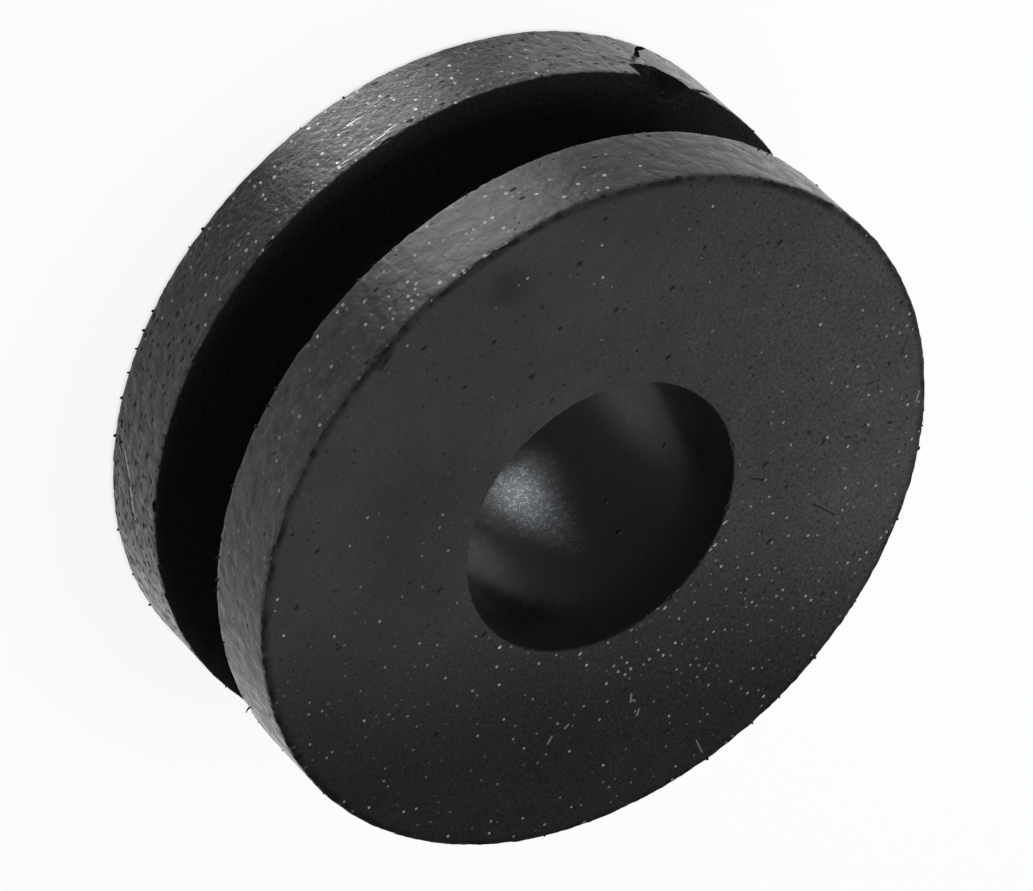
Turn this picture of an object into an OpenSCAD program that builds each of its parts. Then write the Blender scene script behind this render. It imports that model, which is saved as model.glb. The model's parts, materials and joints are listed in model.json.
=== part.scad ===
// Round rubber panel grommet: one moulding with two thick flanges, a deep panel groove between them
// and a plain bore through the middle. It stands on one flange, with its bore upright.
// The origin is the middle of the bottom face, and lengths are in millimetres.

/* [Flanges] */
// Outside diameter of both flanges
flange_d = 20; // [18:0.5:40]
// Thickness of each flange
flange_t = 2.3; // [1.6:0.1:5]

/* [Panel groove] */
// Width of the groove, which is the thickest panel that it takes
groove_w = 3.2; // [1.2:0.1:6]
// Diameter at the bottom of the groove, which is the hole in the panel
groove_d = 13; // [12:0.5:15]

/* [Bore] */
// Diameter of the bore
bore_d = 8; // [4:0.5:9]

/* [Moulded edges] */
// Radius on the outer edges of the flanges
rim_r = 0.12; // [0.05:0.01:0.3]
// Radius on both mouths of the bore
mouth_r = 0.06; // [0.05:0.01:0.3]
// Radius on the flange edges beside the groove
lip_r = 0.05; // [0.05:0.01:0.3]
// Radius of the fillets at the bottom of the groove
root_r = 0.4; // [0.1:0.05:0.5]

/* [Torn edge] */
// Direction of the hollow that is torn out of the bottom flange, in degrees counter-clockwise from +X
tear_angle = 201.7; // [0:0.1:360]
// Radius of that hollow
hollow_r = 0.72; // [0.3:0.02:0.9]
// Length of the thinner flake that is torn off beside it, from the middle of the hollow
flake_l = 1.2; // [0.8:0.1:3]
// Depth of the flake down the rim
flake_deep = 0.5; // [0.1:0.05:0.9]
// Reach of the flake in from the rim
flake_in = 0.22; // [0.1:0.02:0.6]

/* [Hidden] */
$fn = 128;
flange_r = flange_d / 2;
groove_r = groove_d / 2;
bore_r = bore_d / 2;
height = 2 * flange_t + groove_w;
groove_top = flange_t + groove_w;
over = 0.5;          // how far a cutter runs past the surface that it cuts
hollow_out = 0.15;   // how far the hollow's middle lies outside the rim
hollow_up = 0.05;    // how far the hollow's middle lies above the flange

// What a rounded corner takes off a square one. The corner is at the origin and the material is in +X +Y.
module corner_waste(r) {
    difference() {
        translate([-over, -over])
            square(r + over);
        translate([r, r])
            circle(r);
    }
}

// What a fillet adds to an inside corner. The corner is at the origin and the free space is in +X +Y.
module fillet_gain(r) {
    difference() {
        square(r);
        translate([r, r])
            circle(r);
    }
}

// A flange's section, from the bore out to the rim, with its flat face on the X axis and the groove above
module flange_section() {
    difference() {
        translate([bore_r, 0])
            square([flange_r - bore_r, flange_t]);
        translate([flange_r, 0])
            mirror([1, 0])
                corner_waste(rim_r);
        translate([flange_r, flange_t])
            rotate(180)
                corner_waste(lip_r);
        translate([bore_r, 0])
            corner_waste(mouth_r);
    }
}

// The neck's section between the flanges, with a fillet at each end of the groove
module neck_section() {
    translate([bore_r, flange_t])
        square([groove_r - bore_r, groove_w]);
    translate([groove_r, flange_t])
        fillet_gain(root_r);
    translate([groove_r, groove_top])
        mirror([0, 1])
            fillet_gain(root_r);
}

// Half of the whole section, with the bore's axis as its Y axis
module grommet_section() {
    flange_section();
    neck_section();
    translate([0, height])
        mirror([0, 1])
            flange_section();
}

// The rubber that was torn from the bottom flange's edge beside the groove: a hollow and a thin flake
module torn_edge() {
    rotate([0, 0, tear_angle])
        translate([flange_r, 0, flange_t]) {
            translate([hollow_out, 0, hollow_up])
                sphere(hollow_r);
            rotate([90, 0, 180])
                linear_extrude(flake_l)
                    polygon([
                        [flake_in, over],
                        [flake_in, 0],
                        [0, -flake_deep],
                        [-over, -flake_deep],
                        [-over, over]
                    ]);
        }
}

module grommet() {
    color("#2f2f31")
        difference() {
            rotate_extrude()
                grommet_section();
            torn_edge();
        }
}

grommet();
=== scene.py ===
# %% [markdown]
# # A moulded rubber grommet
#
# A panel grommet is a thick rubber washer with a groove round its waist. The edge of a hole in sheet
# metal sits in the groove, and a cable, hose or peg goes through the bore. It is pressed from raw
# rubber in a heated mould, so its flat faces are matt, its bore is smoother, its edges are ragged
# where thin flash was torn off, and pale mould dust sticks to it.
#
# The imported part is loaded first. It fixes every size.

# %% Load the imported part
import json
from math import atan2, ceil, cos, hypot, pi, radians, sin
from random import Random

import bmesh
import bpy
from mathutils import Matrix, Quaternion, Vector

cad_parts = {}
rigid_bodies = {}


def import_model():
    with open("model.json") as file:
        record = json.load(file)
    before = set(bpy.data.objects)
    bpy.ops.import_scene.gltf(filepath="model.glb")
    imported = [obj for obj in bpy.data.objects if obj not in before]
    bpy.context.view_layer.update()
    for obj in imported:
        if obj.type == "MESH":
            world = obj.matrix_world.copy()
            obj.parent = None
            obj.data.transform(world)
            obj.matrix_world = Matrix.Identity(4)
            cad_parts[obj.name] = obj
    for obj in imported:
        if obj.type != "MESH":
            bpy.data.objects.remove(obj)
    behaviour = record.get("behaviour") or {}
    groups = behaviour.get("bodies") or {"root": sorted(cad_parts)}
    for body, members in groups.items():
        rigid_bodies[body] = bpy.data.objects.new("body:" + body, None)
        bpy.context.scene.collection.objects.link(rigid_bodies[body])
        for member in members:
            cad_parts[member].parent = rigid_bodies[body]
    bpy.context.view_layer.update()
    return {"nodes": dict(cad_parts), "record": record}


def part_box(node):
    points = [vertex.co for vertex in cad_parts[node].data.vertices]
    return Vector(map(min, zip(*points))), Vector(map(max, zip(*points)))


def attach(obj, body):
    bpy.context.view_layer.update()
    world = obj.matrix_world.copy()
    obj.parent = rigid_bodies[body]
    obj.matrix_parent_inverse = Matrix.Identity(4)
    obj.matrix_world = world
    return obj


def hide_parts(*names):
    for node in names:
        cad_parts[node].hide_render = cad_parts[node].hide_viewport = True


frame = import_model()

print("packed nodes:", sorted(frame["nodes"]))

# %% [markdown]
# ## Sizes
#
# Blender works in metres, but this part is only 20 mm across, and several modelling tools have limits
# of a tenth of a millimetre written into them. So the grommet is modelled a thousand times too large,
# with one unit to the millimetre, and is shrunk to its real size as its last step. The main sizes
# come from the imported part: its box, and the sizes that its mounts state. Only the small radii on its
# corners are written here.

# %% Read the sizes in millimetres
MM = 0.001
low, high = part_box("grommet")
mounts = {mount["name"]: mount for mount in frame["record"]["mounts"]}
flange_r = (high.x - low.x) / 2 / MM
height = (high.z - low.z) / MM
bore_r = mounts["bore"]["dims"]["r_mm"]
groove_r = mounts["panel_groove"]["dims"]["r_mm"]
groove_w = mounts["panel_groove"]["dims"]["length_mm"]
flange_t = (height - groove_w) / 2
groove_top = flange_t + groove_w
rim_r = 0.12
mouth_r = 0.06
lip_r = 0.05
root_r = 0.4
print(f"flange {2 * flange_r:.2f} x {flange_t:.2f}, groove {2 * groove_r:.2f} x {groove_w:.2f},",
      f"bore {2 * bore_r:.2f} mm")

# %% [markdown]
# ## The camera
#
# The camera comes before the looks, because it decides how fine the detail has to be. A long lens
# looks down at the near rim from 43 degrees above the floor, and the camera is rolled so that the
# top face turns towards the lower right of the picture. The roll is a turn about the lens's own axis.

# %% Place the camera
view_elevation = radians(43.27)
view_roll = radians(134.3)
view_distance = 181.6 * MM
view_target = Vector((0.19, -0.04, height / 2)) * MM
lens_mm = 244.0
sensor_mm = 36.0

camera_data = bpy.data.cameras.new("camera")
camera_data.lens = lens_mm
camera_data.sensor_width = sensor_mm
camera_data.clip_start = 1 * MM
camera = bpy.data.objects.new("camera", camera_data)
bpy.context.scene.collection.objects.link(camera)
line_of_sight = Vector((0, cos(view_elevation), -sin(view_elevation)))
camera.location = view_target - line_of_sight * view_distance
camera.rotation_mode = "QUATERNION"
camera.rotation_quaternion = line_of_sight.to_track_quat("-Z", "Y") @ Quaternion((0, 0, 1), view_roll)
bpy.context.scene.camera = camera
print("camera stands at", [round(value / MM, 1) for value in camera.location], "mm")

# %% [markdown]
# ## Picking what to work on
#
# A modelling operator acts on what is selected. By hand that is a click or a box drawn with the
# mouse. Here it is a test on the place of each corner or edge, so the same step works again when a
# size changes.

# %% Selection helpers
SAME = 1e-3


def deselect_objects():
    bpy.ops.object.select_all(action="DESELECT")


def pick(piece, kind, test):
    """Select the vertices or edges of the piece in edit mode whose middle passes the test."""
    bpy.ops.mesh.select_mode(type=kind)
    bpy.ops.mesh.select_all(action="DESELECT")
    mesh = bmesh.from_edit_mesh(piece.data)
    found = 0
    for element in (mesh.verts if kind == "VERT" else mesh.edges):
        middle = element.co if kind == "VERT" else (element.verts[0].co + element.verts[1].co) / 2
        if test(middle):
            element.select_set(True)
            found += 1
    mesh.select_flush(True)
    bmesh.update_edit_mesh(piece.data)
    return found


print("two places count as one when they are closer than", SAME, "mm")

# %% [markdown]
# ## Half of the section
#
# Everything round about a grommet is in its half section, a C shape that stands beside the bore's
# axis. A lathe worker would turn it and a mould maker would mill it, and either would start from this
# drawing. A flat plane is the bottom flange. Its top edge is extruded up for the neck and the top
# flange, and the top flange is extruded out again.

# %% Draw the C section
deselect_objects()
section_middle = ((bore_r + flange_r) / 2, 0, flange_t / 2)
bpy.ops.mesh.primitive_plane_add(size=1, location=section_middle, rotation=(pi / 2, 0, 0))
grommet = bpy.context.object
grommet.name = "grommet_moulding"
grommet.data.name = "grommet_moulding"
grommet.scale = (flange_r - bore_r, flange_t, 1)
bpy.ops.object.transform_apply(location=True, rotation=True, scale=True)

bpy.ops.object.mode_set(mode="EDIT")
bpy.ops.mesh.select_all(action="SELECT")
bpy.ops.mesh.bisect(plane_co=(groove_r, 0, 0), plane_no=(1, 0, 0))
pick(grommet, "EDGE", lambda at: abs(at.z - flange_t) < SAME and at.x < groove_r)
bpy.ops.mesh.extrude_region_move(TRANSFORM_OT_translate={"value": (0, 0, groove_w)})
bpy.ops.mesh.extrude_region_move(TRANSFORM_OT_translate={"value": (0, 0, flange_t)})
pick(grommet, "EDGE", lambda at: at.z > groove_top + SAME and abs(at.x - groove_r) < SAME)
bpy.ops.mesh.extrude_region_move(TRANSFORM_OT_translate={"value": (flange_r - groove_r, 0, 0)})
bpy.ops.mesh.select_all(action="SELECT")
bpy.ops.mesh.dissolve_limited()
print("corners of the section:", len(grommet.data.vertices))

# %% [markdown]
# ## Round its corners
#
# A mould has no perfectly sharp corner. The outer edges and the bore's mouths are only just broken,
# and the groove's bottom has real fillets, because a sharp one would split when the flange is pushed
# through a panel.

# %% Bevel the corners
def round_corners(radius, segments, test):
    """Bevel the corners that pass the test to this radius, with this many short sides."""
    corners = pick(grommet, "VERT", test)
    bpy.ops.mesh.bevel(offset=radius, segments=segments, affect="VERTICES")
    print(f"rounded {corners} corners to {radius} mm")


def outside(at):
    return at.z < SAME or at.z > height - SAME


def beside_groove(at):
    return min(abs(at.z - flange_t), abs(at.z - groove_top)) < SAME


round_corners(rim_r, 4, lambda at: outside(at) and at.x > flange_r - SAME)
round_corners(mouth_r, 4, lambda at: outside(at) and at.x < bore_r + SAME)
round_corners(lip_r, 3, lambda at: beside_groove(at) and abs(at.x - flange_r) < SAME)
round_corners(root_r, 4, lambda at: abs(at.x - groove_r) < SAME)

# %% [markdown]
# ## More points where the edges are ragged
#
# The torn, nicked edges need a close mesh and the middles of the faces don't. The section is cut with
# the bisect tool a little way in from each edge, the cuts' inner lines are dissolved so that only new
# points on the outline stay, and each straight stretch is then divided to its own spacing.

# %% Divide the outline
edge_band = 0.5
edge_spacing = 0.1
face_spacing = 0.4
rim_spacing = 0.12


def straight_length(edge):
    return (edge.verts[0].co - edge.verts[1].co).length


def spacing_at(middle):
    """How far apart the points are to be on a stretch of the outline."""
    if middle.x > flange_r - SAME:
        return rim_spacing
    near_rim = middle.x > flange_r - edge_band
    near_mouth = outside(middle) and middle.x < bore_r + edge_band
    return edge_spacing if near_rim or near_mouth else face_spacing


for cut_x in (bore_r + edge_band, flange_r - edge_band):
    bpy.ops.mesh.select_all(action="SELECT")
    bpy.ops.mesh.bisect(plane_co=(cut_x, 0, 0), plane_no=(1, 0, 0))
outline = bmesh.from_edit_mesh(grommet.data)
inner_lines = [edge for edge in outline.edges if not edge.is_boundary]
bmesh.ops.dissolve_edges(outline, edges=inner_lines, use_verts=False)
bmesh.update_edit_mesh(grommet.data)
bpy.ops.mesh.select_all(action="SELECT")
bpy.ops.mesh.delete(type="ONLY_FACE")

outline = bmesh.from_edit_mesh(grommet.data)
stretches = []
for edge in outline.edges:
    middle = (edge.verts[0].co + edge.verts[1].co) / 2
    stretches.append((edge, ceil(straight_length(edge) / spacing_at(middle))))
for pieces in sorted({count for edge, count in stretches if count > 1}):
    same_count = [edge for edge, count in stretches if count == pieces]
    bmesh.ops.subdivide_edges(outline, edges=same_count, cuts=pieces - 1)
bmesh.update_edit_mesh(grommet.data)
bpy.ops.object.mode_set(mode="OBJECT")
print("points on the outline:", len(grommet.data.vertices))

# %% [markdown]
# ## Turn it into a solid
#
# The Screw modifier with no rise is a lathe: it sweeps the outline once round the axis and joins the
# last copy to the first. It does the same as the Spin tool and is much quicker with many steps. The
# number of steps makes each face about as wide as it is tall along the rims.

# %% Sweep the outline round the bore
steps_round = 560


def apply_modifier(piece, kind, **settings):
    """Add a modifier to the piece, with its settings, and apply it."""
    modifier = piece.modifiers.new(kind.lower(), kind)
    for name, value in settings.items():
        setattr(modifier, name, value)
    bpy.context.view_layer.objects.active = piece
    bpy.ops.object.modifier_apply(modifier=modifier.name)


apply_modifier(grommet, "SCREW", axis="Z", angle=2 * pi, screw_offset=0, steps=steps_round,
               render_steps=steps_round, use_merge_vertices=True, merge_threshold=SAME)
bpy.ops.object.mode_set(mode="EDIT")
bpy.ops.mesh.select_all(action="SELECT")
bpy.ops.mesh.remove_doubles(threshold=SAME)
bpy.ops.mesh.normals_make_consistent(inside=False)
bpy.ops.object.mode_set(mode="OBJECT")
print("faces after the sweep:", len(grommet.data.polygons))

# %% [markdown]
# ## Ragged moulded edges
#
# Where the halves of a mould meet, rubber squeezes out as flash, and the flash is torn off when the
# grommet is trimmed. That leaves every outer edge a little ragged, while the flat faces and the rims
# stay true. Sculpting would do it by hand. Displace modifiers do it here, with cloudy noise and a
# vertex group that fades out away from the edges. One slow wave on top lets the whole rim run a few
# hundredths of a millimetre out of round, as soft mouldings do.

# %% Make the edges ragged
edge_reach = 0.32
edge_circles = [(flange_r, z) for z in (0, flange_t, groove_top, height)] + [(bore_r, z) for z in (0, height)]


def noise_texture(name, grain):
    """Cloudy noise whose lumps are about one grain across, in millimetres."""
    texture = bpy.data.textures.new(name, "CLOUDS")
    texture.noise_basis = "IMPROVED_PERLIN"
    texture.noise_scale = grain
    texture.noise_depth = 2
    return texture


def roughen(piece, name, grain, swing, group=""):
    """Push the surface in and out by up to half of the swing, where the vertex group lets it."""
    apply_modifier(piece, "DISPLACE", texture=noise_texture(name, grain), texture_coords="LOCAL",
                   mid_level=0.5, strength=swing, vertex_group=group)


ragged = grommet.vertex_groups.new(name="ragged")
strengths = {}
for corner in grommet.data.vertices:
    radius = hypot(corner.co.x, corner.co.y)
    nearest = min(hypot(radius - r, corner.co.z - z) for r, z in edge_circles)
    strength = round(max(0.0, 1 - nearest / edge_reach), 2)
    strengths.setdefault(strength, []).append(corner.index)
for strength, corners in strengths.items():
    ragged.add(corners, strength, "REPLACE")

for name, grain, swing, group in (("slow wave", 5.0, 0.05, ""),
                                  ("torn flash", 0.45, 0.05, "ragged"),
                                  ("torn flash grain", 0.17, 0.07, "ragged")):
    roughen(grommet, name, grain, swing, group)
print("vertices near an edge:", sum(len(found) for strength, found in strengths.items() if strength))

# %% [markdown]
# ## Tools for cutting and adding
#
# Bites are cut out of the rubber, and slivers are added to it, with Boolean modifiers. A Boolean keeps
# the materials of both shapes, and that saves work later. So the four materials are made now, each
# cutter and sliver wears the torn one, and whatever it leaves on the grommet has that finish already.
# After each step the mesh is tested: a solid has no edge with fewer or more than two faces.

# %% Helpers for cutting and adding
finish_names = ("matt_face", "rim", "groove", "bore")
FACE, RIM, TORN, BORE = range(len(finish_names))
for name in finish_names:
    grommet.data.materials.append(bpy.data.materials.new(name))
print("material slots:", finish_names, " torn surfaces wear:", finish_names[TORN])


def polar(direction, radius, z):
    """A point round the bore's axis, by its direction in degrees counter-clockwise from +X."""
    return Vector((radius * cos(radians(direction)), radius * sin(radians(direction)), z))


def ball(at, size, turn=0.0, divisions=2):
    """A ball squeezed to the size given: away from the axis, along the rim and up."""
    deselect_objects()
    bpy.ops.mesh.primitive_ico_sphere_add(subdivisions=divisions, radius=1, location=at,
                                          rotation=(0, 0, radians(turn)))
    made = bpy.context.object
    made.scale = size
    bpy.ops.object.transform_apply(location=True, rotation=True, scale=True)
    return made


def join(pieces):
    """Join the pieces into the first of them."""
    deselect_objects()
    for piece in pieces:
        piece.select_set(True)
    bpy.context.view_layer.objects.active = pieces[0]
    bpy.ops.object.join()
    return pieces[0]


def combine(piece, other, operation):
    """Cut the other shape out of the piece, or add it, and delete it. Its faces bring the torn finish."""
    for material in piece.data.materials:
        other.data.materials.append(material)
    other.data.polygons.foreach_set("material_index", [TORN] * len(other.data.polygons))
    apply_modifier(piece, "BOOLEAN", object=other, operation=operation, solver="EXACT")
    bpy.data.objects.remove(other)
    solid = bmesh.new()
    solid.from_mesh(piece.data)
    loose = sum(not edge.is_manifold for edge in solid.edges)
    print(f"{operation.lower()}: {len(solid.faces)} faces, {solid.calc_volume():.1f} mm3, {loose} open edges")
    solid.free()


# %% [markdown]
# ## The torn edge
#
# A chip of rubber has been pulled from one edge. Rubber doesn't crack along flat planes. It stretches
# and lets go, which leaves a rounded hollow with a thinner flake beside it. A ball and a slanted block
# make that shape. They are roughened before they cut, so the torn floor is rough and the moulded skin
# round it stays smooth. The hollow and the flake are as large, and as placed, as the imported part's.

# %% Cut the tear
tear_direction = 201.7
hollow_r = 0.72
hollow_out = 0.15
hollow_up = 0.05
flake_l = 1.2
flake_deep = 0.5
flake_in = 0.22
block_out = 1.0
block_tall = 1.2
block_cuts = 15

hollow_middle = polar(tear_direction, flange_r + hollow_out, flange_t + hollow_up)
hollow = ball(hollow_middle, (hollow_r,) * 3, divisions=5)

deselect_objects()
bpy.ops.mesh.primitive_cube_add(size=1, location=(0.5, 0.5, 0.5))
flake = bpy.context.object
flake.scale = (block_out, flake_l, block_tall)
bpy.ops.object.transform_apply(location=True, rotation=True, scale=True)
flake.rotation_euler = (0, atan2(flake_deep, flake_in), radians(tear_direction))
flake.location = polar(tear_direction, flange_r - flake_in, flange_t)
bpy.ops.object.transform_apply(location=True, rotation=True, scale=True)
bpy.ops.object.mode_set(mode="EDIT")
bpy.ops.mesh.select_all(action="SELECT")
bpy.ops.mesh.subdivide(number_cuts=block_cuts)
bpy.ops.object.mode_set(mode="OBJECT")

for name, cutter in (("hollow", hollow), ("flake", flake)):
    for kind, grain, swing in (("lumps", 0.35, 0.16), ("grain", 0.12, 0.06)):
        roughen(cutter, f"{name} {kind}", grain, swing)
    combine(grommet, cutter, "DIFFERENCE")

# %% [markdown]
# ## Nicks, pits and gouges
#
# Smaller bites are missing where a knife trimmed the flash or where the edge met something hard. They
# are squeezed balls. The few that stand out are placed one by one, made lumpy and cut one by one. Then
# a seeded random row of small plain ones gives every edge its share, so the far side isn't left
# perfect. Those are joined and cut together, which is quick but needs cutters that don't touch. So each
# edge keeps a list of the directions that are taken.

# %% Cut the nicks
dice = Random(7)
taken = {}
nick_gap = 5
nicks_on_rim = 16
nicks_on_mouth = 6
smallest_nick = 0.04
largest_nick = 0.09
longest_nick = 2.6


def free_turn(circle, gap):
    """A random direction on an edge circle that nothing is near yet, so no two cutters meet."""
    places = taken.setdefault(circle, [])
    while True:
        turn = dice.uniform(0, 360)
        if all(abs((turn - place + 180) % 360 - 180) > gap for place in places):
            places.append(turn)
            return turn


# Direction in degrees, distance to the axis, height, and size away from the axis, along the rim and up
placed_nicks = [
    (276.3, 10.03, height + 0.02, (0.14, 0.22, 0.15)),
    (275.9, 9.70, height + 0.03, (0.05, 0.20, 0.08)),
    (222.2, 10.03, height, (0.13, 0.16, 0.12)),
    (320.7, 10.04, flange_t, (0.14, 0.21, 0.17)),
    (331.9, 10.04, flange_t, (0.09, 0.13, 0.11)),
    (337.9, 10.04, flange_t, (0.11, 0.15, 0.12)),
    (316.0, 10.05, 0.4, (0.09, 0.10, 0.05)),
]
for turn, r, z, size in placed_nicks:
    nick = ball(polar(turn, r, z), size, turn, divisions=3)
    roughen(nick, "nick lumps", 0.16, 0.08)
    combine(grommet, nick, "DIFFERENCE")

# The random nicks keep away from the tear and from places at or near those of the placed ones
taken[(flange_r, height)] = [276.6, 274.6, 222.2]
taken[(flange_r, flange_t)] = [320.7, 331.9, 337.9, tear_direction, tear_direction + 6]
nicks = []
for r, z in edge_circles:
    for _ in range(nicks_on_rim if r > bore_r else nicks_on_mouth):
        turn = free_turn((r, z), nick_gap)
        size = dice.uniform(smallest_nick, largest_nick)
        nicks.append(ball(polar(turn, r, z), (size, size * dice.uniform(1, longest_nick), size), turn))
print("nicks:", len(nicks))
combine(grommet, join(nicks), "DIFFERENCE")

# %% [markdown]
# ## Slivers of flash
#
# Some flash is still there: a hooked hair below the tear, a frayed strip on its lip, and short burrs
# and crumbs along the edges. A sliver is a small tube. A filled circle is extruded from point to point
# of a path, and after each step its end is squeezed to the width there and turned to face halfway
# between the two stretches that meet, as a pipe's mitre does. Each root starts inside the rubber, so
# one Boolean union joins them all to the moulding.

# %% Extrude the slivers
def sliver(path, widths, sides=7):
    """A tube along the points of the path, as wide at each as its width says, closed at both ends."""
    ways = [(after - before).normalized() for before, after in zip(path, path[1:])]
    facing = ways[0]
    deselect_objects()
    bpy.ops.mesh.primitive_circle_add(vertices=sides, radius=widths[0] / 2, fill_type="NGON",
                                      location=path[0], rotation=facing.to_track_quat("Z", "Y").to_euler())
    made = bpy.context.object
    bpy.ops.object.transform_apply(location=True, rotation=True, scale=True)
    bpy.ops.object.mode_set(mode="EDIT")
    bpy.ops.mesh.select_all(action="SELECT")
    for step, way in enumerate(ways):
        end = path[step + 1]
        bpy.ops.mesh.extrude_region_move(TRANSFORM_OT_translate={"value": end - path[step]})
        bpy.ops.transform.resize(value=(widths[step + 1] / widths[step],) * 3, center_override=end)
        new_facing = (way + ways[min(step + 1, len(ways) - 1)]).normalized()
        for axis, angle in zip("XYZ", facing.rotation_difference(new_facing).to_euler()):
            # With no window this operator turns the other way, so the angle is negative.
            bpy.ops.transform.rotate(value=-angle, orient_axis=axis, center_override=end)
        facing = new_facing
    bpy.ops.mesh.select_all(action="SELECT")
    bpy.ops.mesh.normals_make_consistent(inside=False)
    bpy.ops.object.mode_set(mode="OBJECT")
    return made


def from_edge(direction, radius, z, moves, widths):
    """A sliver from a point on the rim, with each move given as away from the axis, along the rim and up."""
    away = polar(direction, 1, 0)
    along = polar(direction + 90, 1, 0)
    up = Vector((0, 0, 1))
    path = [polar(direction, radius, z)]
    for out, round_rim, rise in moves:
        path.append(path[-1] + away * out + along * round_rim + up * rise)
    return sliver(path, widths)


hair_moves = [(0.10, 0.03, 0), (0.08, 0.06, 0), (0.06, 0.05, 0),
              (0.04, 0.0, 0.04), (0.04, -0.08, 0.05), (0.03, -0.09, 0.04)]
hair_widths = (0.26, 0.15, 0.10, 0.095, 0.12, 0.10, 0.02)
frayed_moves = [(0.10, -0.03, 0.06), (0.06, -0.12, 0.06), (0.03, -0.16, 0.02),
                (0.0, -0.15, 0.0), (-0.02, -0.10, -0.02)]
frayed_widths = (0.16, 0.13, 0.09, 0.07, 0.05, 0.03)
slivers = [
    from_edge(203.1, flange_r - 0.08, 0.95, hair_moves, hair_widths),
    from_edge(197.3, flange_r - 0.12, flange_t - 0.06, frayed_moves, frayed_widths),
]
print("faces on the hair:", len(slivers[0].data.polygons))

# %% [markdown]
# The burrs that show against the light are listed one by one, each with its direction, its height and how
# far it stands out. The rest are drawn at random, so that every edge has its share: short hooked burrs,
# and on the outer edges crumbs as well, which are small balls half sunk in the rubber.

# %% Place the burrs
# Direction in degrees, height, and how far it stands out
burr_places = [
    (298.2, 0.02, 0.02), (301.3, 0.02, 0.01), (305.3, 0.03, 0.02), (309.6, 0.02, 0.01),
    (316.1, 0.02, 0.01), (333.5, 0.02, 0.02), (350.3, 0.02, 0.04),
    (289.6, groove_top, 0.04), (295.9, groove_top, 0.04), (305.9, groove_top, 0.06),
    (318.0, groove_top, 0.08), (321.8, groove_top, 0.05), (323.5, groove_top, 0.07),
    (250.0, groove_top, 0.05), (267.3, groove_top, 0.05), (270.0, groove_top, 0.04),
    (195.3, groove_top, 0.10), (348.2, groove_top, 0.12), (345.0, groove_top, 0.04),
]
root_depth = 0.06
burr_gap = 2
burrs_on_edge = 8
crumbs_on_edge = 14
edge_lift = 0.05


def burr(direction, z, length, inside=False):
    """A short hooked sliver that starts under the surface of the rim, or of the bore when it is inside."""
    out = -1 if inside else 1
    radius = (bore_r if inside else flange_r) - root_depth * out
    bend = dice.uniform(-1.2, 1.2) * length
    rise = dice.uniform(-0.5, 0.5) * length
    width = dice.uniform(0.03, 0.07)
    moves = [(root_depth * out, 0, 0),
             (0.5 * length * out, 0.3 * bend, 0.3 * rise),
             (0.5 * length * out, 0.7 * bend, 0.7 * rise)]
    return from_edge(direction, radius, z, moves, (width * 1.7, width * 1.4, width, width * 0.5))


for direction, z, length in burr_places:
    slivers.append(burr(direction, z, length))
    taken.setdefault((flange_r, groove_top if z > flange_t else 0), []).append(direction)
for r, z in edge_circles:
    inside = r == bore_r
    lift = edge_lift if z in (0, groove_top) else -edge_lift
    for _ in range(burrs_on_edge):
        turn = free_turn((r, z), burr_gap)
        slivers.append(burr(turn, z + lift, dice.uniform(0.005, 0.03), inside))
    for _ in range(0 if inside else crumbs_on_edge):
        size = 0.018 + 0.025 * dice.random() ** 2
        turn = free_turn((r, z), burr_gap)
        crumb_at = polar(turn, r + dice.uniform(-0.01, 0.015), z + lift)
        slivers.append(ball(crumb_at, (size,) * 3, divisions=1))
print("slivers:", len(slivers))
combine(grommet, join(slivers), "UNION")

# %% [markdown]
# A burr whose root met a nick may have nothing to hold on to. Everything that is linked to the moulding
# is kept, and the rest is deleted.

# %% Delete what floats free
bpy.context.view_layer.objects.active = grommet
bpy.ops.object.mode_set(mode="EDIT")
pick(grommet, "VERT", lambda at: abs(at.z - height / 2) < groove_w / 4)
bpy.ops.mesh.select_linked()
bpy.ops.mesh.select_all(action="INVERT")
bpy.ops.mesh.delete(type="VERT")
bpy.ops.object.mode_set(mode="OBJECT")
print("faces that are left:", len(grommet.data.polygons))

# %% [markdown]
# ## Down to its real size
#
# The moulding is finished, so it is shaded smooth wherever its faces meet at less than 40 degrees and
# shrunk from millimetres to metres. It then rides on the part's one body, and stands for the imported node.

# %% Shrink the grommet and put it in the frame
smooth_below = radians(40)
deselect_objects()
grommet.select_set(True)
bpy.context.view_layer.objects.active = grommet
bpy.ops.object.shade_smooth_by_angle(angle=smooth_below)
grommet.scale = (MM, MM, MM)
bpy.ops.object.transform_apply(location=False, rotation=False, scale=True)
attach(grommet, "root")
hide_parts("grommet")
triangles = sum(len(face.vertices) - 2 for face in grommet.data.polygons)
print("triangles:", triangles, " size in mm:", [round(side / MM, 2) for side in grommet.dimensions])

# %% [markdown]
# ## Sums on sockets
#
# A procedural finish is a sum of masks and noises. Written as nodes, each plus or times is a Math node
# with two links. The small class below wraps a socket, so that the same sum is a line of Python, and
# one method of the other class adds any node: its settings first, then the values or links it takes.

# %% Helpers for materials
class Value:
    """A number that a node gives, for use in Python sums."""

    def __init__(self, finish, socket):
        self.finish = finish
        self.socket = socket

    def math(self, operation, *operands):
        return self.finish.node("ShaderNodeMath", {"operation": operation}, operands)

    def __add__(self, other):
        return self.math("ADD", self, other)

    __radd__ = __add__

    def __sub__(self, other):
        return self.math("SUBTRACT", self, other)

    def __rsub__(self, other):
        return self.math("SUBTRACT", other, self)

    def __mul__(self, other):
        return self.math("MULTIPLY", self, other)

    __rmul__ = __mul__

    def __truediv__(self, other):
        return self.math("DIVIDE", self, other)

    def __pow__(self, other):
        return self.math("POWER", self, other)

    def __abs__(self):
        return self.math("ABSOLUTE", self)

    def __lt__(self, other):
        return self.math("LESS_THAN", self, other)

    def at_least(self, other):
        return self.math("MAXIMUM", self, other)

    def at_most(self, other):
        return self.math("MINIMUM", self, other)


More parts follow.
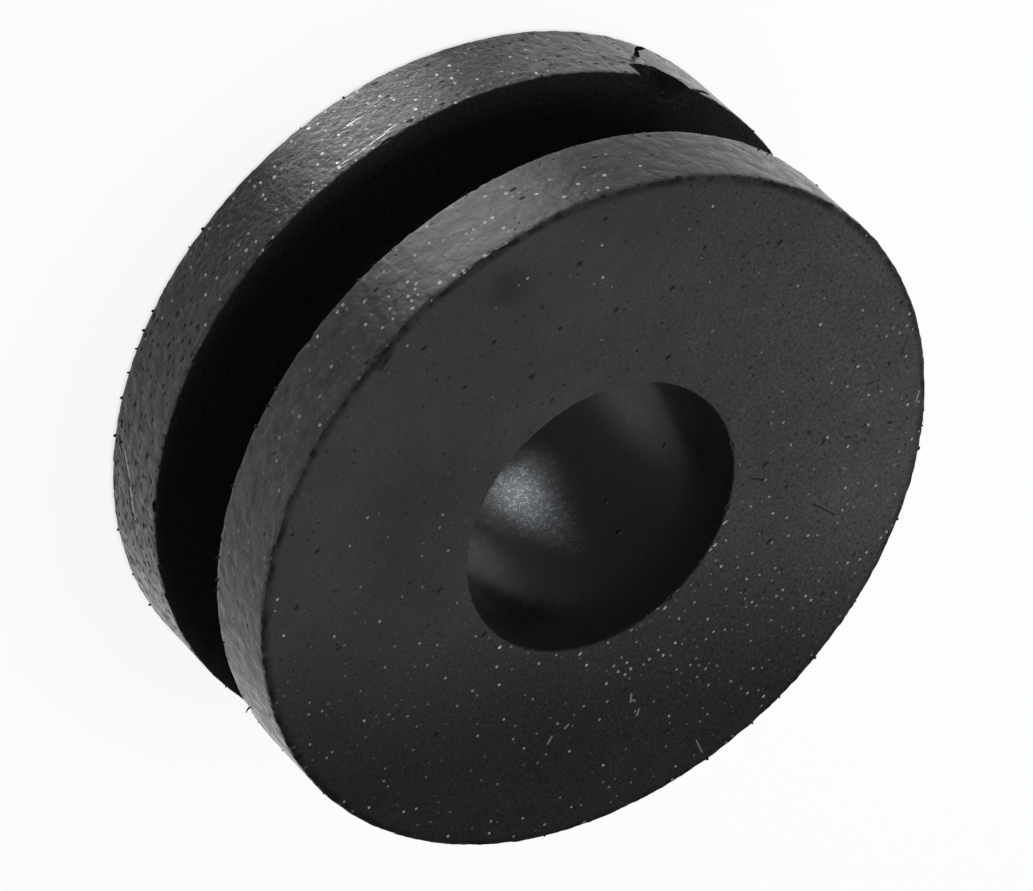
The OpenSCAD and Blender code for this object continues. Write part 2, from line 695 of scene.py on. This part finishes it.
class Finish:
    """The nodes of a material, a lamp or the world, under construction."""

    def __init__(self, owner):
        owner.use_nodes = True
        self.name = owner.name
        self.owner = owner
        self.tree = owner.node_tree
        self.shader = self.tree.nodes.get("Principled BSDF")

    def node(self, kind, settings=None, inputs=(), output=0):
        """Add a node with its settings, feed its inputs by number or name, and give one of its outputs."""
        made = self.tree.nodes.new(kind)
        for name, value in (settings or {}).items():
            setattr(made, name, value)
        for key, value in (inputs.items() if isinstance(inputs, dict) else enumerate(inputs)):
            self.feed(made.inputs[key], value)
        return Value(self, made.outputs[output])

    def feed(self, socket, value):
        """Link a value to a socket, or set the socket to a constant."""
        if isinstance(value, Value):
            self.tree.links.new(value.socket, socket)
        else:
            socket.default_value = value

    def ease(self, value, low, high):
        """0 below low and 1 above high, with a smooth step between. It falls when low is above high."""
        smooth_step = {"interpolation_type": "SMOOTHSTEP"}
        return self.node("ShaderNodeMapRange", smooth_step, (value, low, high, 0.0, 1.0))

    def vectors(self, operation, first, second, output=0):
        return self.node("ShaderNodeVectorMath", {"operation": operation}, (first, second), output)

    def stretch(self, vector, factors):
        """Multiply x, y and z by a factor each, so that a pattern on them shrinks that way."""
        return self.vectors("MULTIPLY", vector, factors)

    def distance_to(self, vector, point):
        return self.vectors("DISTANCE", vector, tuple(point), "Value")

    def noise(self, vector, grain, detail=2.0, distortion=0.0):
        """Cloudy noise from 0 to 1, whose lumps are about one grain across."""
        inputs = {"Vector": vector, "Scale": 0.6 / grain, "Detail": detail, "Distortion": distortion}
        return self.node("ShaderNodeTexNoise", {}, inputs)

    def cells(self, vector, size):
        """How far each place is from its cell's middle, in cells, and two random numbers of that cell."""
        inputs = {"Vector": vector, "Scale": 1 / size}
        distance = self.node("ShaderNodeTexVoronoi", {"voronoi_dimensions": "2D"}, inputs, "Distance")
        colour = self.tree.nodes.new("ShaderNodeSeparateColor")
        self.tree.links.new(distance.socket.node.outputs["Color"], colour.inputs[0])
        return distance, Value(self, colour.outputs[0]), Value(self, colour.outputs[1])

    def mix(self, factor, first, second):
        """The first colour where the factor is 0 and the second where it is 1."""
        return self.node("ShaderNodeMix", {"data_type": "RGBA"}, {0: factor, 6: first, 7: second}, 2)


print("helpers are ready")

# %% [markdown]
# ## One rubber, four finishes
#
# The whole grommet is one black compound, but each of its surfaces met a different part of the mould.
# The flat faces are matt and dusty. The rims are smoother, so they mirror the pale surroundings more
# and more as they turn away. The groove never gets dusty, and the bore was formed on a polished pin.
# What was torn already has its finish from the cutters. Every other face is given to a slot by where
# it lies, as it would be with the mouse. Only the frayed strip beside the tear goes back to the rim,
# because its skin is the rim's.

# %% Give every face its finish
finishes = {material.name: Finish(material) for material in grommet.data.materials}
frayed_lip = polar(197, flange_r, flange_t)
frayed_reach = 0.5
mouth_band = 0.03
face_band = 0.2
rim_band = 0.25
flat_enough = 0.6
steep_enough = 0.75


def surface_of(face):
    """The slot that a face gets: what was torn keeps its own, and the rest goes by place."""
    middle = face.center / MM
    radius = hypot(middle.x, middle.y)
    flatness = abs(face.normal.z)
    frayed = radius > flange_r and (middle - frayed_lip).length < frayed_reach
    if face.material_index == TORN and not frayed:
        return TORN
    if radius < bore_r + mouth_band:
        return BORE
    if abs(middle.z - height / 2) > height / 2 - face_band and flatness > flat_enough:
        return FACE
    return RIM if radius > flange_r - rim_band and flatness < steep_enough else TORN


print("torn faces:", sum(face.material_index == TORN for face in grommet.data.polygons))
for face in grommet.data.polygons:
    face.material_index = surface_of(face)
for slot, name in enumerate(finishes):
    print(name, "is on", sum(face.material_index == slot for face in grommet.data.polygons), "faces")

# %% [markdown]
# ### Patterns that all four share
#
# Every pattern reads Object coordinates in millimetres, so it stays on the rubber however the part is
# turned, and a grain of 0.07 is 0.07 mm. Dust specks and pits are Voronoi cells: a random share of the
# cells holds one, at the cell's middle. A speck can be hollow, which leaves a pale ring round a darker
# middle. The cells are drawn on the surface laid flat, because in cells that fill space most spots would
# lie just above or below the surface and be lost.

# %% Helpers for the rubber's patterns
def place_in_mm(finish):
    """Object coordinates in millimetres, with x, y, z and the distance to the axis beside them."""
    metres = finish.node("ShaderNodeTexCoord", {}, (), "Object")
    finish.place = finish.node("ShaderNodeVectorMath", {"operation": "SCALE"}, {0: metres, "Scale": 1 / MM})
    finish.x = finish.node("ShaderNodeSeparateXYZ", {}, (finish.place,), "X")
    finish.y = Value(finish, finish.x.socket.node.outputs["Y"])
    finish.z = Value(finish, finish.x.socket.node.outputs["Z"])
    finish.radius = (finish.x * finish.x + finish.y * finish.y) ** 0.5


def lay_flat(finish, wall_r=None):
    """Lay the surface flat: a wall of this radius is unrolled, and a flat face only moves with its height."""
    if wall_r:
        across = finish.y.math("ARCTAN2", finish.y, finish.x) * wall_r
        up = finish.z
    else:
        across = finish.x + 3.7 * finish.z
        up = finish.y
    finish.flat = finish.node("ShaderNodeCombineXYZ", {}, (across, up, 0.0))


def grainy(finish, grain, detail=2.0):
    """Cloudy noise that is spread over the whole way from 0 to 1."""
    return finish.ease(finish.noise(finish.place, grain, detail), 0.32, 0.68)


def spots(finish, cell, size, share, shape=(1, 1, 1), hollow=0.0):
    """Round spots of up to the size given, in a share of the cells: 1 in a spot, and its random strength.

    The shape shrinks them along the surface, and the hollow says how dark their middles are."""
    distance, chance, strength = finish.cells(finish.stretch(finish.flat, shape), cell)
    away = distance * cell
    spot_r = size * (0.5 + 0.5 * strength)
    spot = finish.ease(away, spot_r, spot_r * (0.7 if hollow else 0.4))
    if hollow:
        spot = spot * (1 - hollow * finish.ease(away, spot_r * 0.65, spot_r * 0.2))
    return spot * (chance < share), strength


def dust_on(spot, strength):
    """How pale the dust in a spot is: most specks are faint, and a few are white."""
    return spot * (0.03 + 0.09 * strength + 0.62 * strength ** 6)


def toward(finish, direction, low, high):
    """A mask that rises from low to high millimetres in one direction across the part."""
    travelled = finish.x * cos(radians(direction)) + finish.y * sin(radians(direction))
    return finish.ease(travelled, low, high)


def blob(finish, point, size):
    """A soft round patch: 1 in its middle and 0 at its size."""
    return finish.ease(finish.distance_to(finish.place, point), size, 0.0)


def scratch(finish, start, end, width):
    """A thin line from start to end."""
    along = end - start
    from_start = finish.vectors("SUBTRACT", finish.place, tuple(start))
    travelled = finish.vectors("DOT_PRODUCT", from_start, tuple(along), "Value")
    share = (travelled / along.length_squared).at_least(0.0).at_most(1.0)
    nearest = finish.node("ShaderNodeVectorMath", {"operation": "SCALE"}, {0: tuple(along), "Scale": share})
    distance = finish.vectors("DISTANCE", from_start, nearest, "Value")
    return finish.ease(distance, width, width * 0.3)


def total(values):
    """The sum of the values, but no more than 1."""
    result = values[0]
    for value in values[1:]:
        result = result + value
    return result.at_most(1.0)


# The pale colour of dust, and of the glints and highlights painted on the rims.
DUST_AND_GLINT_COLOUR = (0.62, 0.61, 0.58, 1)


def dress(finish, tone, tint, dust, gloss, relief, specular):
    """Colour, gloss and relief of a finish: a tone with its tint, pale dust and painted glints on it, and the
    bump's height.
    """
    dark = finish.node("ShaderNodeCombineColor", {}, (tone * tint[0], tone * tint[1], tone * tint[2]))
    colour = finish.mix(dust.at_most(1.0), dark, DUST_AND_GLINT_COLOUR)
    finish.feed(finish.shader.inputs["Base Color"], colour)
    finish.feed(finish.shader.inputs["Roughness"], gloss)
    bump = finish.node("ShaderNodeBump", {}, {"Height": relief, "Distance": 0.01 * MM, "Strength": 1.0})
    finish.feed(finish.shader.inputs["Normal"], bump)
    finish.shader.inputs["Specular IOR Level"].default_value = specular
    print(finish.name, "has", len(finish.tree.nodes), "nodes")


wall_radii = {"matt_face": None, "rim": flange_r, "groove": None, "bore": bore_r}
for name, wall_r in wall_radii.items():
    finish = finishes[name]
    place_in_mm(finish)
    lay_flat(finish, wall_r)
    finish.grain = grainy(finish, 0.06)
    finish.mottle = grainy(finish, 0.25, 3.0)
    finish.clouds = grainy(finish, 2.0)
    print(name, "starts with", len(finish.tree.nodes), "nodes")

# %% [markdown]
# ### The flat faces
#
# Pressed against a blasted steel plate, they are matt with a fine even grain. Mould dust lies on them
# as white specks, thick on one side and sparse on the other. The sparse side is darker, partly as
# cleaner rubber and partly as painted shade, and the dusty side paler, partly as painted light.
# Bubbles in the compound left small dark pits. A narrow band of painted shade just inside the rim,
# with a crumbly dark line at its edge, stands for the rounded edge, a patch of painted shade darkens a
# small nick in that edge, and lint hangs on the edge of the bore. The masks and the marks come
# first, and the sums that use them are in the next cell.

# %% Masks and marks of the faces
face = finishes["matt_face"]
# Painted shade and light: the tone falls towards +X+Y and rises towards -X+Y, partly as cleaner and dustier
# rubber and partly as painted shade and light.
clean_shaded_side = toward(face, 45, 0.0, 7.5)
dusty_lit_side = toward(face, 140, 3.0, 9.0)
roughness_here = 0.45 + 0.55 * toward(face, 110, -6, 3) + 0.5 * clean_shaded_side

speck_share = 0.05 + 0.30 * toward(face, 60, -5, 4) + 0.20 * toward(face, 150, 3, 9)
speck_share = speck_share + 0.40 * blob(face, (0.5, 5.5, height), 5.0)
specks, speck_strength = spots(face, 0.27, 0.047, speck_share, hollow=0.7)
faint_share = 0.10 + 0.35 * toward(face, 130, -6, 4)
faint, faint_strength = spots(face, 0.17, 0.034, faint_share, (1.0, 0.7, 1.0))
near_mouth = face.ease(face.radius, bore_r + 0.35, bore_r + 0.10) * toward(face, 70, 0.5, 4.0)
lint, lint_strength = spots(face, 0.16, 0.055, 0.55 * near_mouth, (0.6, 1.0, 1.0))
pit_share = 0.12 + 0.50 * toward(face, 150, 1, 7)
pits, pit_strength = spots(face, 0.24, 0.048, pit_share, (1.0, 0.7, 1.0))
large_pits, _ = spots(face, 1.1, 0.12, 0.10 + 0.25 * toward(face, 165, 3, 8), (0.8, 1.4, 1.0))

# Painted shade: a darker band just inside the rim, with a crumbly dark line at the edge, for the rounded edge
# turning from the light.
patchy = face.ease(face.noise(face.place, 0.5, 3.0), 0.36, 0.62)
painted_edge_shade = face.ease(face.radius, flange_r - 0.30, flange_r - 0.14) * (0.35 + 0.65 * patchy)
crumbly = face.ease(face.noise(face.place, 0.22, 3.0), 0.45, 0.6)
painted_edge_line_shade = face.ease(face.radius, flange_r - 0.20, flange_r - 0.11) * crumbly
shaded_spot = blob(face, (3.4, -4.6, height), 4.0)
smudge = blob(face, (-2.5, -8.3, height), 1.0)
# Painted shade: a soft dark patch round the nick in the top face's edge.
near_gouge = face.distance_to(face.place, polar(275.6, flange_r - 0.16, height)) + 0.25 * face.mottle
gouge_shade = face.ease(near_gouge, 0.46, 0.34)


def marks_on_face(marks):
    """Short lines on the top face, each from one place to another with its width."""
    return total([scratch(face, Vector((*start, height)), Vector((*end, height)), width)
                  for start, end, width in marks])


pale_marks = marks_on_face([
    ((2.74, 5.57), (2.90, 5.76), 0.045), ((2.90, 5.76), (2.80, 5.82), 0.04),
    ((3.05, 6.32), (2.89, 6.21), 0.045), ((2.45, 8.74), (2.52, 9.04), 0.03),
    ((2.52, 9.04), (2.57, 9.24), 0.03), ((-7.95, 5.54), (-8.17, 5.35), 0.045),
    ((5.18, 4.57), (4.98, 4.49), 0.05), ((4.58, 4.63), (4.45, 4.63), 0.05),
])
dark_marks = marks_on_face([
    ((-4.11, 5.42), (-4.35, 6.43), 0.030), ((-3.45, 3.04), (-3.61, 3.36), 0.040),
    ((-7.31, 3.70), (-7.46, 3.81), 0.045), ((-8.93, 3.51), (-8.48, 3.84), 0.028),
    ((-6.42, 5.06), (-6.56, 5.02), 0.045), ((-5.95, 4.58), (-6.04, 4.65), 0.070),
    ((-5.39, 4.07), (-5.51, 4.01), 0.070), ((-7.02, 5.35), (-7.08, 5.42), 0.055),
    ((3.10, 7.39), (2.86, 7.60), 0.025),
])
print("with their masks and marks the faces have", len(face.tree.nodes), "nodes")

# %% Finish of the faces
# Besides dust and grain, this tone holds painted shade (the clean side, the shaded spot, the band inside the
# rim, the patch round the nick in its edge) and painted light on the dusty side.
face_tone = 0.038 * (1 - 0.72 * clean_shaded_side) * (1 + 0.30 * dusty_lit_side) * (1 - 0.25 * shaded_spot)
face_tone = face_tone * (1 + roughness_here * (0.46 * face.grain - 0.23))
face_tone = face_tone * (0.90 + 0.20 * face.mottle) * (0.92 + 0.16 * face.clouds)
face_tone = face_tone * (1 - (0.15 + 0.4 * pit_strength) * pits) * (1 - 0.7 * large_pits)
face_tone = face_tone * (1 - 0.65 * dark_marks) * (1 - 0.55 * painted_edge_shade) * (1 - 0.6 * painted_edge_line_shade)
face_tone = face_tone * (1 - 0.35 * smudge) * (1 - 0.55 * gouge_shade)
face_dust = dust_on(specks, speck_strength) + 0.7 * lint * lint_strength ** 4
face_dust = face_dust + 0.03 * faint * faint_strength + 0.20 * pale_marks
face_gloss = 0.75 + 0.15 * face.mottle
face_relief = 0.5 * roughness_here * face.grain + 0.5 * face.mottle + 1.5 * specks
face_relief = face_relief - 2.0 * pits - 3.0 * large_pits - 2.0 * dark_marks
warmth = 0.05 * face.noise(face.place, 0.35, 3.0) - 0.025
dress(face, face_tone, (1.0 + warmth, 0.995, 0.985 - warmth), face_dust, face_gloss, face_relief, 0.06)

# %% [markdown]
# ### The rims
#
# The halves of the mould were turned on a lathe, and the rims keep faint streaks of that. Dark dashes
# and pits lie along them, thickest on the lower rim. That rim also has a few scratches where a tool
# slipped, whose white is painted highlight, a crack with a pale lip, and a coarse stretch with painted
# glints. Small pale beads sit on the upper one. The skin is smoother than the faces, so it mirrors the
# pale surroundings, most where the rim turns away, and painted sheen lightens the tone on two sides.

# %% Masks and marks of the rims
rim = finishes["rim"]
streaks = rim.ease(rim.noise(rim.stretch(rim.place, (1, 1, 6)), 0.5, 3.0), 0.32, 0.68)
fine = rim.ease(rim.noise(rim.place, 0.10, 2.0, 0.3), 0.32, 0.68)
lumps = grainy(rim, 0.5, 3.0)
lower = rim.z < height / 2
coarse = lower * toward(rim, 255, 7.5, 9.8)
foot = rim.ease(rim.z, 0.16, 0.04)
broken = rim.ease(rim.noise(rim.stretch(rim.place, (1, 1, 3)), 0.16, 1.0), 0.38, 0.55)

dash_share = 0.03 + 0.65 * toward(rim, 318, 6.0, 9.5) * lower + 0.20 * toward(rim, 225, 7.0, 9.8) * lower
dash_share = dash_share + 0.45 * toward(rim, 341, 8.6, 9.9) * lower
dashes, _ = spots(rim, 0.24, 0.070, dash_share, (0.5, 1.0, 1.0))
dots, dot_strength = spots(rim, 0.20, 0.045, 0.05)
specks, speck_strength = spots(rim, 0.26, 0.055, 0.12 + 0.35 * toward(rim, 262, 8.0, 9.9), hollow=0.7)
# Painted glints: pale specks in the coarse stretch of the lower rim, where the highlight falls.
glints, glint_strength = spots(rim, 0.19, 0.055, 0.30 * coarse)


def marks_on_rim(marks):
    """Lines on the rims, each from one direction and height to another with its width."""
    return total([scratch(rim, polar(turn, flange_r, z), polar(end_turn, flange_r, end_z), width)
                  for turn, z, end_turn, end_z, width in marks])


# Real scratches in the relief, with painted highlight: they are painted pale where the light catches them.
scratches_and_highlights = broken * marks_on_rim([
    (258.0, 1.02, 255.4, 1.04, 0.030), (255.0, 1.04, 252.2, 1.03, 0.045), (251.9, 1.02, 249.8, 0.98, 0.035),
    (260.4, 2.02, 257.6, 2.07, 0.035), (257.3, 2.08, 254.4, 2.08, 0.050), (254.1, 2.07, 251.9, 2.05, 0.040),
    (251.7, 2.00, 249.6, 1.98, 0.030), (258.9, 1.93, 256.4, 1.97, 0.028),
])
crack_lip = marks_on_rim([
    (316.3, 0.42, 316.9, 0.58, 0.055), (317.0, 0.62, 317.9, 0.69, 0.060), (318.0, 0.74, 318.9, 0.78, 0.070),
    (319.0, 0.83, 320.2, 0.92, 0.075), (322.2, 0.97, 323.1, 1.07, 0.070), (323.3, 1.03, 324.3, 1.12, 0.075),
    (324.4, 1.07, 325.7, 1.14, 0.080), (329.0, 1.21, 329.9, 1.20, 0.050),
])
cracks = marks_on_rim([
    (317.2, 0.56, 320.4, 0.85, 0.045), (320.4, 0.87, 322.3, 0.97, 0.050), (322.5, 0.93, 325.6, 1.02, 0.050),
    (325.8, 1.09, 327.5, 1.13, 0.050), (327.5, 1.13, 331.2, 1.18, 0.035), (315.3, 0.30, 316.6, 0.36, 0.070),
    (312.6, 0.28, 313.6, 0.30, 0.060), (206.5, 1.45, 209.3, 1.32, 0.030), (209.3, 1.75, 212.2, 1.50, 0.030),
    (212.0, 1.60, 214.0, 1.62, 0.022),
]) * (1 - crack_lip)
beads = total([blob(rim, polar(turn, flange_r, z), size) for turn, z, size in (
    (265.3, 7.10, 0.07), (266.7, 7.12, 0.07), (265.6, 7.32, 0.06), (266.8, 7.32, 0.07), (267.5, 7.52, 0.07),
    (270.5, 7.31, 0.06), (272.4, 7.25, 0.06), (268.6, 6.66, 0.05), (271.6, 6.18, 0.06), (262.2, 7.50, 0.10),
    (260.0, 7.61, 0.08), (258.7, 7.70, 0.07), (254.9, 7.70, 0.08),
)])
print("with their masks and marks the rims have", len(rim.tree.nodes), "nodes")

# %% Finish of the rims
rim_tone = 0.014 * (0.70 + 0.60 * fine) * (0.70 + 0.60 * rim.mottle)
rim_tone = rim_tone * (0.86 + 0.28 * streaks) * (0.90 + 0.20 * rim.clouds)
# Painted sheen: the tone is raised towards 330 degrees, and on the lower rim towards 206 degrees, where the
# rims turn away and mirror more.
rim_tone = rim_tone * (1 + 2.0 * toward(rim, 330, 6.0, 9.9)) * (1 + 3.5 * lower * toward(rim, 206, 8.6, 9.9))
rim_tone = rim_tone * (1 - 0.85 * dashes) * (1 - 0.85 * cracks) * (1 - (0.2 + 0.5 * dot_strength) * dots)
# This pale layer holds dust, painted glints and the painted highlight on the tool marks.
rim_dust_and_glints = dust_on(specks, speck_strength) + 0.8 * glints * glint_strength ** 3
rim_dust_and_glints = rim_dust_and_glints + 0.6 * scratches_and_highlights + crack_lip + 0.5 * beads
rim_gloss = 0.15 + 0.13 * rim.mottle + 0.07 * lumps + 0.06 * rim.clouds
rim_gloss = (rim_gloss + 0.5 * dashes + 0.4 * dots + 0.6 * cracks + 0.6 * foot).at_most(1.0)
rim_relief = (0.25 + 1.8 * coarse) * fine + (0.9 + 0.6 * lower) * rim.mottle + 1.3 * lumps + 0.12 * streaks
rim_relief = rim_relief - 2.5 * dashes - 2.0 * dots - 2.5 * cracks + 2.5 * scratches_and_highlights
dress(rim, rim_tone, (1.0, 1.0, 0.99), rim_dust_and_glints, rim_gloss, rim_relief, 0.25)

# %% [markdown]
# ### The groove and the tear
#
# Nothing reaches into the groove, so it is clean and nearly black, and a little paler between the flanges
# than on them. Painted light makes it paler towards one side, and painted shade darker towards another.
# The tear, the nicks and the burrs share its finish, since they are raw rubber too, and painted shade
# darkens the tear's floor further. The tear's floor is lumpy, with a few pale grains of filler, and the
# nicks in the top face's edge are paler, because dust reaches them.

# %% Finish of the groove and the tear
groove = finishes["groove"]
between = groove.ease(abs(groove.z - height / 2), groove_w / 2 + 0.15, groove_w / 2)
on_top_edge = groove.ease(groove.z, height - 0.4, height - 0.05)
on_tear = blob(groove, polar(tear_direction + 2.5, flange_r, flange_t), 1.5)
torn_grain = grainy(groove, 0.14, 3.0)
specks, speck_strength = spots(groove, 0.4, 0.045, 0.08 + 0.3 * on_tear)
pits, _ = spots(groove, 0.45, 0.09, 0.5 * toward(groove, 190, 8.0, 9.5), (1.0, 0.7, 1.0))
# Painted light and shade: paler on the neck towards 290 degrees, and darker towards 215 degrees, where the
# overhead lamp reaches in.
groove_tone = (0.012 + 0.006 * between) * (1 + 1.0 * between * toward(groove, 290, -8, 5))
groove_tone = groove_tone * (1 - 0.5 * toward(groove, 215, 7, 9.5)) * (0.7 + 0.6 * groove.grain)
# Painted shade: the tear's floor is darker between its lumps, and its dark finish stands partly for shade.
groove_tone = groove_tone * (1 - 0.5 * on_tear * (1 - torn_grain)) * (1 - 0.6 * pits)
groove_tone = groove_tone * (1 + 1.5 * on_top_edge)
groove_dust = 0.08 * specks * speck_strength + 0.3 * on_tear * specks
groove_gloss = 0.85 - 0.1 * groove.mottle
groove_relief = 0.6 * groove.grain + 3.0 * on_tear * torn_grain
dress(groove, groove_tone, (1.0, 1.0, 1.02), groove_dust, groove_gloss, groove_relief, 0.03)

# %% [markdown]
# ### The bore
#
# The pin that formed it was polished, so the wall is smooth enough to mirror the pale floor that shows
# through its lower mouth, in soft bands down its sides. It is less smooth near the upper mouth. Bluish-grey
# patches of painted reflection stand for light that comes up through the lower mouth, and the largest is
# broken into tiny curved hairs. A hair is where a noise passes its middle value: that place is a thin line,
# and a second noise breaks it into strokes. The wall's laid-flat coordinates give each patch its place.

# %% Finish of the bore
bore = finishes["bore"]


def patch(turn, z, half_width, half_height):
    """A soft oval patch on the bore's wall, by its direction, height and half sizes."""
    from_middle = bore.vectors("SUBTRACT", bore.flat, (radians(turn) * bore_r, z, 0))
    scaled = bore.stretch(from_middle, (1 / half_width, 1 / half_height, 0))
    return bore.ease(bore.distance_to(scaled, (0, 0, 0)), 1.0, 0.0)


def strokes(grain, shift):
    """Short curved hairs: the thin lines where a noise passes its middle, broken up by another noise."""
    moved = bore.vectors("ADD", bore.place, (shift, shift, shift))
    lines = bore.ease(abs(bore.noise(moved, grain, 1.0, 0.8) - 0.5), 0.040, 0.005)
    return lines * bore.ease(bore.noise(moved, grain * 0.7, 1.0), 0.46, 0.54)


curls = (strokes(0.17, 0.0) + strokes(0.17, 3.1) + 0.7 * strokes(0.12, 7.7)).at_most(1.0)
# Painted reflections: bluish-grey patches on the wall, for light that comes up through the lower mouth.
painted_reflection_main = (0.70 * patch(75, 2.5, 0.9, 2.8) + 0.42 * patch(75, 1.6, 1.7, 2.9)).at_most(1.0)
painted_reflection_top = patch(130, 3.0, 1.15, 3.2)
painted_reflection_side = patch(42, 3.2, 1.0, 2.4)
painted_reflections = painted_reflection_main * (0.56 + 0.95 * curls) + 0.9 * painted_reflection_top * (0.85 + 0.3 * curls)
painted_reflections = painted_reflections + 0.5 * painted_reflection_side * (0.75 + 0.5 * curls)
specks, speck_strength = spots(bore, 0.25, 0.04, 0.15 + 0.4 * patch(80, 2.0, 3.0, 3.0))
holes = total([blob(bore, polar(turn, bore_r, z), 0.11)
               for turn, z in ((128.8, 4.76), (95.6, 3.86), (90.6, 4.93))])
bore_tone = (0.007 * (0.8 + 0.4 * bore.mottle) + 0.20 * painted_reflections) * (1 - 0.7 * holes)
bore_dust = 0.10 * specks * speck_strength
bore_gloss = 0.21 + 0.06 * bore.mottle + 0.15 * painted_reflection_main + 0.35 * bore.ease(bore.z, 5.8, 7.6)
bore_relief = 0.12 * bore.grain + 1.2 * curls * painted_reflection_main - 1.5 * holes
dress(bore, bore_tone, (0.92, 0.99, 1.06), bore_dust, bore_gloss, bore_relief, 0.09)

# %% [markdown]
# ## Floor and backdrop
#
# The grommet stands on pale paper. The floor is really lit, so it keeps the shadow, and a fixed share of
# what the camera sees of it is plain white, so that the shadow stays light. Under the grommet the share
# falls to nothing. What is glossy sees the floor and the world as plain white all over, which is what
# gives the rims their sheen. The world itself lights the rubber only faintly.

# %% Lay the floor
white_share = 0.91


def kinds_of_ray(finish):
    """Masks for what the camera sees, what a gloss mirrors and what clear glass lets through."""
    seen = finish.node("ShaderNodeLightPath", {}, (), "Is Camera Ray")
    rays = seen.socket.node.outputs
    return seen, Value(finish, rays["Is Glossy Ray"]), Value(finish, rays["Is Transmission Ray"])


deselect_objects()
bpy.ops.mesh.primitive_plane_add(size=4, location=(0, 0, 0))
floor = bpy.context.object
floor.name = "floor"
paper = Finish(bpy.data.materials.new("white_paper"))
paper.shader.inputs["Base Color"].default_value = (0.9, 0.9, 0.9, 1)
paper.shader.inputs["Roughness"].default_value = 1.0
paper.shader.inputs["Specular IOR Level"].default_value = 0.0
place_in_mm(paper)
seen, in_gloss, through_glass = kinds_of_ray(paper)
beside_part = paper.ease(paper.radius, flange_r - 0.4, flange_r + 0.1)
share_of_white = (white_share * beside_part * seen.at_least(through_glass)).at_least(in_gloss)
lit_paper = Value(paper, paper.shader.outputs[0])
plain_white = paper.node("ShaderNodeEmission", {}, {"Strength": 1.0})
paper_light = paper.node("ShaderNodeMixShader", {}, (share_of_white, lit_paper, plain_white))
paper.feed(paper.tree.nodes["Material Output"].inputs["Surface"], paper_light)
floor.data.materials.append(paper.owner)
print(f"the camera sees {white_share} of the floor's light as plain white")

# %% Light the backdrop
ambient = 0.05
bpy.context.scene.world = bpy.data.worlds.new("studio")
studio = Finish(bpy.context.scene.world)
seen, in_gloss, through_glass = kinds_of_ray(studio)
level = seen.at_least(in_gloss).at_least(through_glass).at_least(ambient)
backdrop = studio.tree.nodes["Background"]
studio.feed(backdrop.inputs["Color"], (1, 1, 1, 1))
studio.feed(backdrop.inputs["Strength"], level)
bpy.context.scene.view_settings.view_transform = "Standard"
print("the world lights the rubber at", ambient)

# %% [markdown]
# ## Lamps
#
# Five soft lamps. Each is set by its radiance, where 1 looks as bright as white paper, so its strength
# doesn't depend on its size. Three are ordinary: overhead, on the far side, and low and near. The other
# two stand in for light that reaches the rubber from below. One is a panel just above the floor, in a
# wedge that widens away from the grommet and fades towards its sides, which the rims mirror as a soft
# bright bar. The other is small, lies inside the bore and lights the painted reflection patches on its
# wall, and no gloss mirrors it.

# %% Set the lamps
def lamp(name, at, aim, wide, tall, radiance):
    """A soft rectangular lamp, placed and sized in millimetres."""
    data = bpy.data.lights.new(name, "AREA")
    data.shape = "RECTANGLE"
    data.size = wide * MM
    data.size_y = tall * MM
    data.energy = radiance * pi * data.size * data.size_y
    made = bpy.data.objects.new(name, data)
    bpy.context.scene.collection.objects.link(made)
    made.location = Vector(at) * MM
    made.rotation_euler = (Vector(aim) - Vector(at)).to_track_quat("-Z", "Y").to_euler()
    made.visible_camera = False
    print(f"{name}: {wide} x {tall} mm, {data.energy:.2g} W")
    return made


centre = (0, 0, height / 2)
lamp("overhead", (-20, 15, 120), centre, 90, 90, 5.0)
lamp("far side", (-25, 32, 36), (-4, 4, height), 16, 16, 3.0)
lamp("low near", (-60, -104, 8), (0, 0, 3), 20, 14, 40.0)

# %% Set the panel near the floor and the lamp inside the bore
panel_start = 3.0
panel_long = 17.0
panel_wide = 16.0
panel_way = radians(237)
panel_foot = Vector((-0.7, -6.3, 0.05))
panel_middle = panel_foot + (panel_start + panel_long / 2) * Vector((cos(panel_way), sin(panel_way), 0))
panel = lamp("floor panel", panel_middle, panel_middle, panel_long, panel_wide, 4.2)
panel.rotation_euler = (pi, 0, panel_way)

glow = Finish(panel.data)
across_panel = glow.node("ShaderNodeNewGeometry", {}, (), "Parametric")
along = glow.node("ShaderNodeSeparateXYZ", {}, (across_panel,), "X")
across = Value(glow, along.socket.node.outputs["Y"])
half_width = 0.50 * (panel_start + panel_long * along)
fading = glow.ease(abs(across - 0.5) * panel_wide / half_width, 1.9, 0.0)
glow.feed(glow.tree.nodes["Emission"].inputs["Strength"], fading)

inner = lamp("inside the bore", (0.35, 2.5, 0.1), (2.0, 4.8, 1.9), 1.8, 1.4, 4.0)
inner.data.spread = radians(80)
inner.visible_glossy = False
